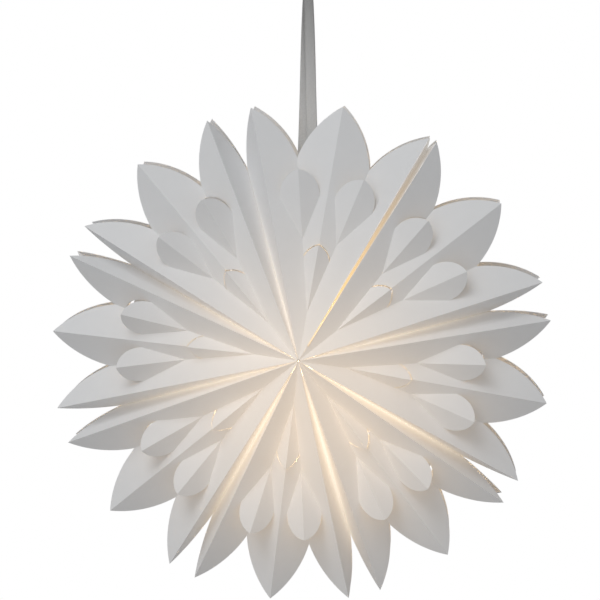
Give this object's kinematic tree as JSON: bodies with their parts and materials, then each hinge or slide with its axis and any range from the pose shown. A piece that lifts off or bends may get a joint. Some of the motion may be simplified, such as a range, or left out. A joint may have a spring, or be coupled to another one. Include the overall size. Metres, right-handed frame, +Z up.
{
  "type": "paper star pendant",
  "caption": "Folded paper star pendant lamp with cut petals, front and back leaves on ribs, a bulb inside and a ribbon loop to hang it by.",
  "frame": {"origin": "inside top of the ribbon loop, where it bears on its hook", "axes": "+Z up along the hanging ribbon, -Y the way the star faces, +X to the right seen from the front"},
  "size_m": [0.5936, 0.185, 0.7364],
  "materials": {
    "leaf_paper": "matte, lit from inside",
    "rib_card": "matte",
    "end_card": "silver grey card",
    "fastener": "touch fastener",
    "ribbon": "woven, silver grey",
    "toggle": "matte",
    "wire": "bright wire",
    "lampholder": "satin",
    "screw_cap": "plated",
    "bulb_glass": "frosted, lit"
  },
  "bodies": {
    "hanging_cell": {"front_leaf_1": "leaf_paper", "back_leaf_1": "leaf_paper", "hanging_ribbon": "ribbon", "ribbon_toggle": "toggle", "lamp_bail": "wire", "lampholder_cap": "lampholder", "cord_grip": "lampholder", "lampholder_body": "lampholder", "bulb_screw_cap": "screw_cap", "bulb_glass": "bulb_glass"},
    "left_card": {"left_end_card": "end_card", "left_seam_dot": "fastener"},
    "right_card": {"right_end_card": "end_card", "right_seam_dot": "fastener"},
    "cell_2": {"front_leaf_2": "leaf_paper", "back_leaf_2": "leaf_paper", "rib_2": "rib_card"},
    "cell_3": {"front_leaf_3": "leaf_paper", "back_leaf_3": "leaf_paper", "rib_3": "rib_card"},
    "cell_4": {"front_leaf_4": "leaf_paper", "back_leaf_4": "leaf_paper", "rib_4": "rib_card"},
    "cell_5": {"front_leaf_5": "leaf_paper", "back_leaf_5": "leaf_paper", "rib_5": "rib_card"},
    "cell_6": {"front_leaf_6": "leaf_paper", "back_leaf_6": "leaf_paper", "rib_6": "rib_card"},
    "cell_7": {"front_leaf_7": "leaf_paper", "back_leaf_7": "leaf_paper", "rib_7": "rib_card"},
    "cell_8": {"front_leaf_8": "leaf_paper", "back_leaf_8": "leaf_paper", "rib_8": "rib_card"}
  },
  "joints": [
    {"name": "fold_cell_8", "type": "hinge", "parent": "hanging_cell", "child": "cell_8", "pos_m": [-0.005, -0.046, -0.44], "axis": [0, 1, 0], "range_deg": [0, 30.05], "deforming": ["front_leaf_8", "back_leaf_8", "rib_8"]},
    {"name": "fold_cell_7", "type": "hinge", "parent": "cell_8", "child": "cell_7", "pos_m": [-0.005, -0.046, -0.44], "axis": [0, 1, 0], "range_deg": [0, 40.11], "deforming": ["front_leaf_7", "back_leaf_7", "rib_7"]},
    {"name": "fold_cell_6", "type": "hinge", "parent": "cell_7", "child": "cell_6", "pos_m": [-0.005, -0.046, -0.44], "axis": [0, 1, 0], "range_deg": [0, 39.22], "deforming": ["front_leaf_6", "back_leaf_6", "rib_6"]},
    {"name": "fold_cell_5", "type": "hinge", "parent": "cell_6", "child": "cell_5", "pos_m": [-0.005, -0.046, -0.44], "axis": [0, 1, 0], "range_deg": [0, 39.06], "deforming": ["front_leaf_5", "back_leaf_5", "rib_5"]},
    {"name": "fold_cell_4", "type": "hinge", "parent": "cell_5", "child": "cell_4", "pos_m": [-0.005, -0.046, -0.44], "axis": [0, 1, 0], "range_deg": [0, 38], "deforming": ["front_leaf_4", "back_leaf_4", "rib_4"]},
    {"name": "fold_cell_3", "type": "hinge", "parent": "cell_4", "child": "cell_3", "pos_m": [-0.005, -0.046, -0.44], "axis": [0, 1, 0], "range_deg": [0, 38.98], "deforming": ["front_leaf_3", "back_leaf_3", "rib_3"]},
    {"name": "fold_cell_2", "type": "hinge", "parent": "cell_3", "child": "cell_2", "pos_m": [-0.005, -0.046, -0.44], "axis": [0, 1, 0], "range_deg": [0, 40.65], "deforming": ["front_leaf_2", "back_leaf_2", "rib_2"]},
    {"name": "fold_right_card", "type": "hinge", "parent": "cell_2", "child": "right_card", "pos_m": [-0.005, -0.046, -0.44], "axis": [0, 1, 0], "range_deg": [0, 19.36]},
    {"name": "fold_left_card", "type": "hinge", "parent": "hanging_cell", "child": "left_card", "pos_m": [-0.005, -0.046, -0.44], "axis": [0, 1, 0], "range_deg": [-21.05, 0], "deforming": ["front_leaf_1", "back_leaf_1"]}
  ],
  "couplings": [
    {"joint": "fold_cell_7", "follows": "fold_cell_8", "ratio": 1.3347},
    {"joint": "fold_cell_6", "follows": "fold_cell_8", "ratio": 1.3051},
    {"joint": "fold_cell_5", "follows": "fold_cell_8", "ratio": 1.2997},
    {"joint": "fold_cell_4", "follows": "fold_cell_8", "ratio": 1.2645},
    {"joint": "fold_cell_3", "follows": "fold_cell_8", "ratio": 1.2971},
    {"joint": "fold_cell_2", "follows": "fold_cell_8", "ratio": 1.3526},
    {"joint": "fold_right_card", "follows": "fold_cell_8", "ratio": 0.64416},
    {"joint": "fold_left_card", "follows": "fold_cell_8", "ratio": -0.7004}
  ]
}
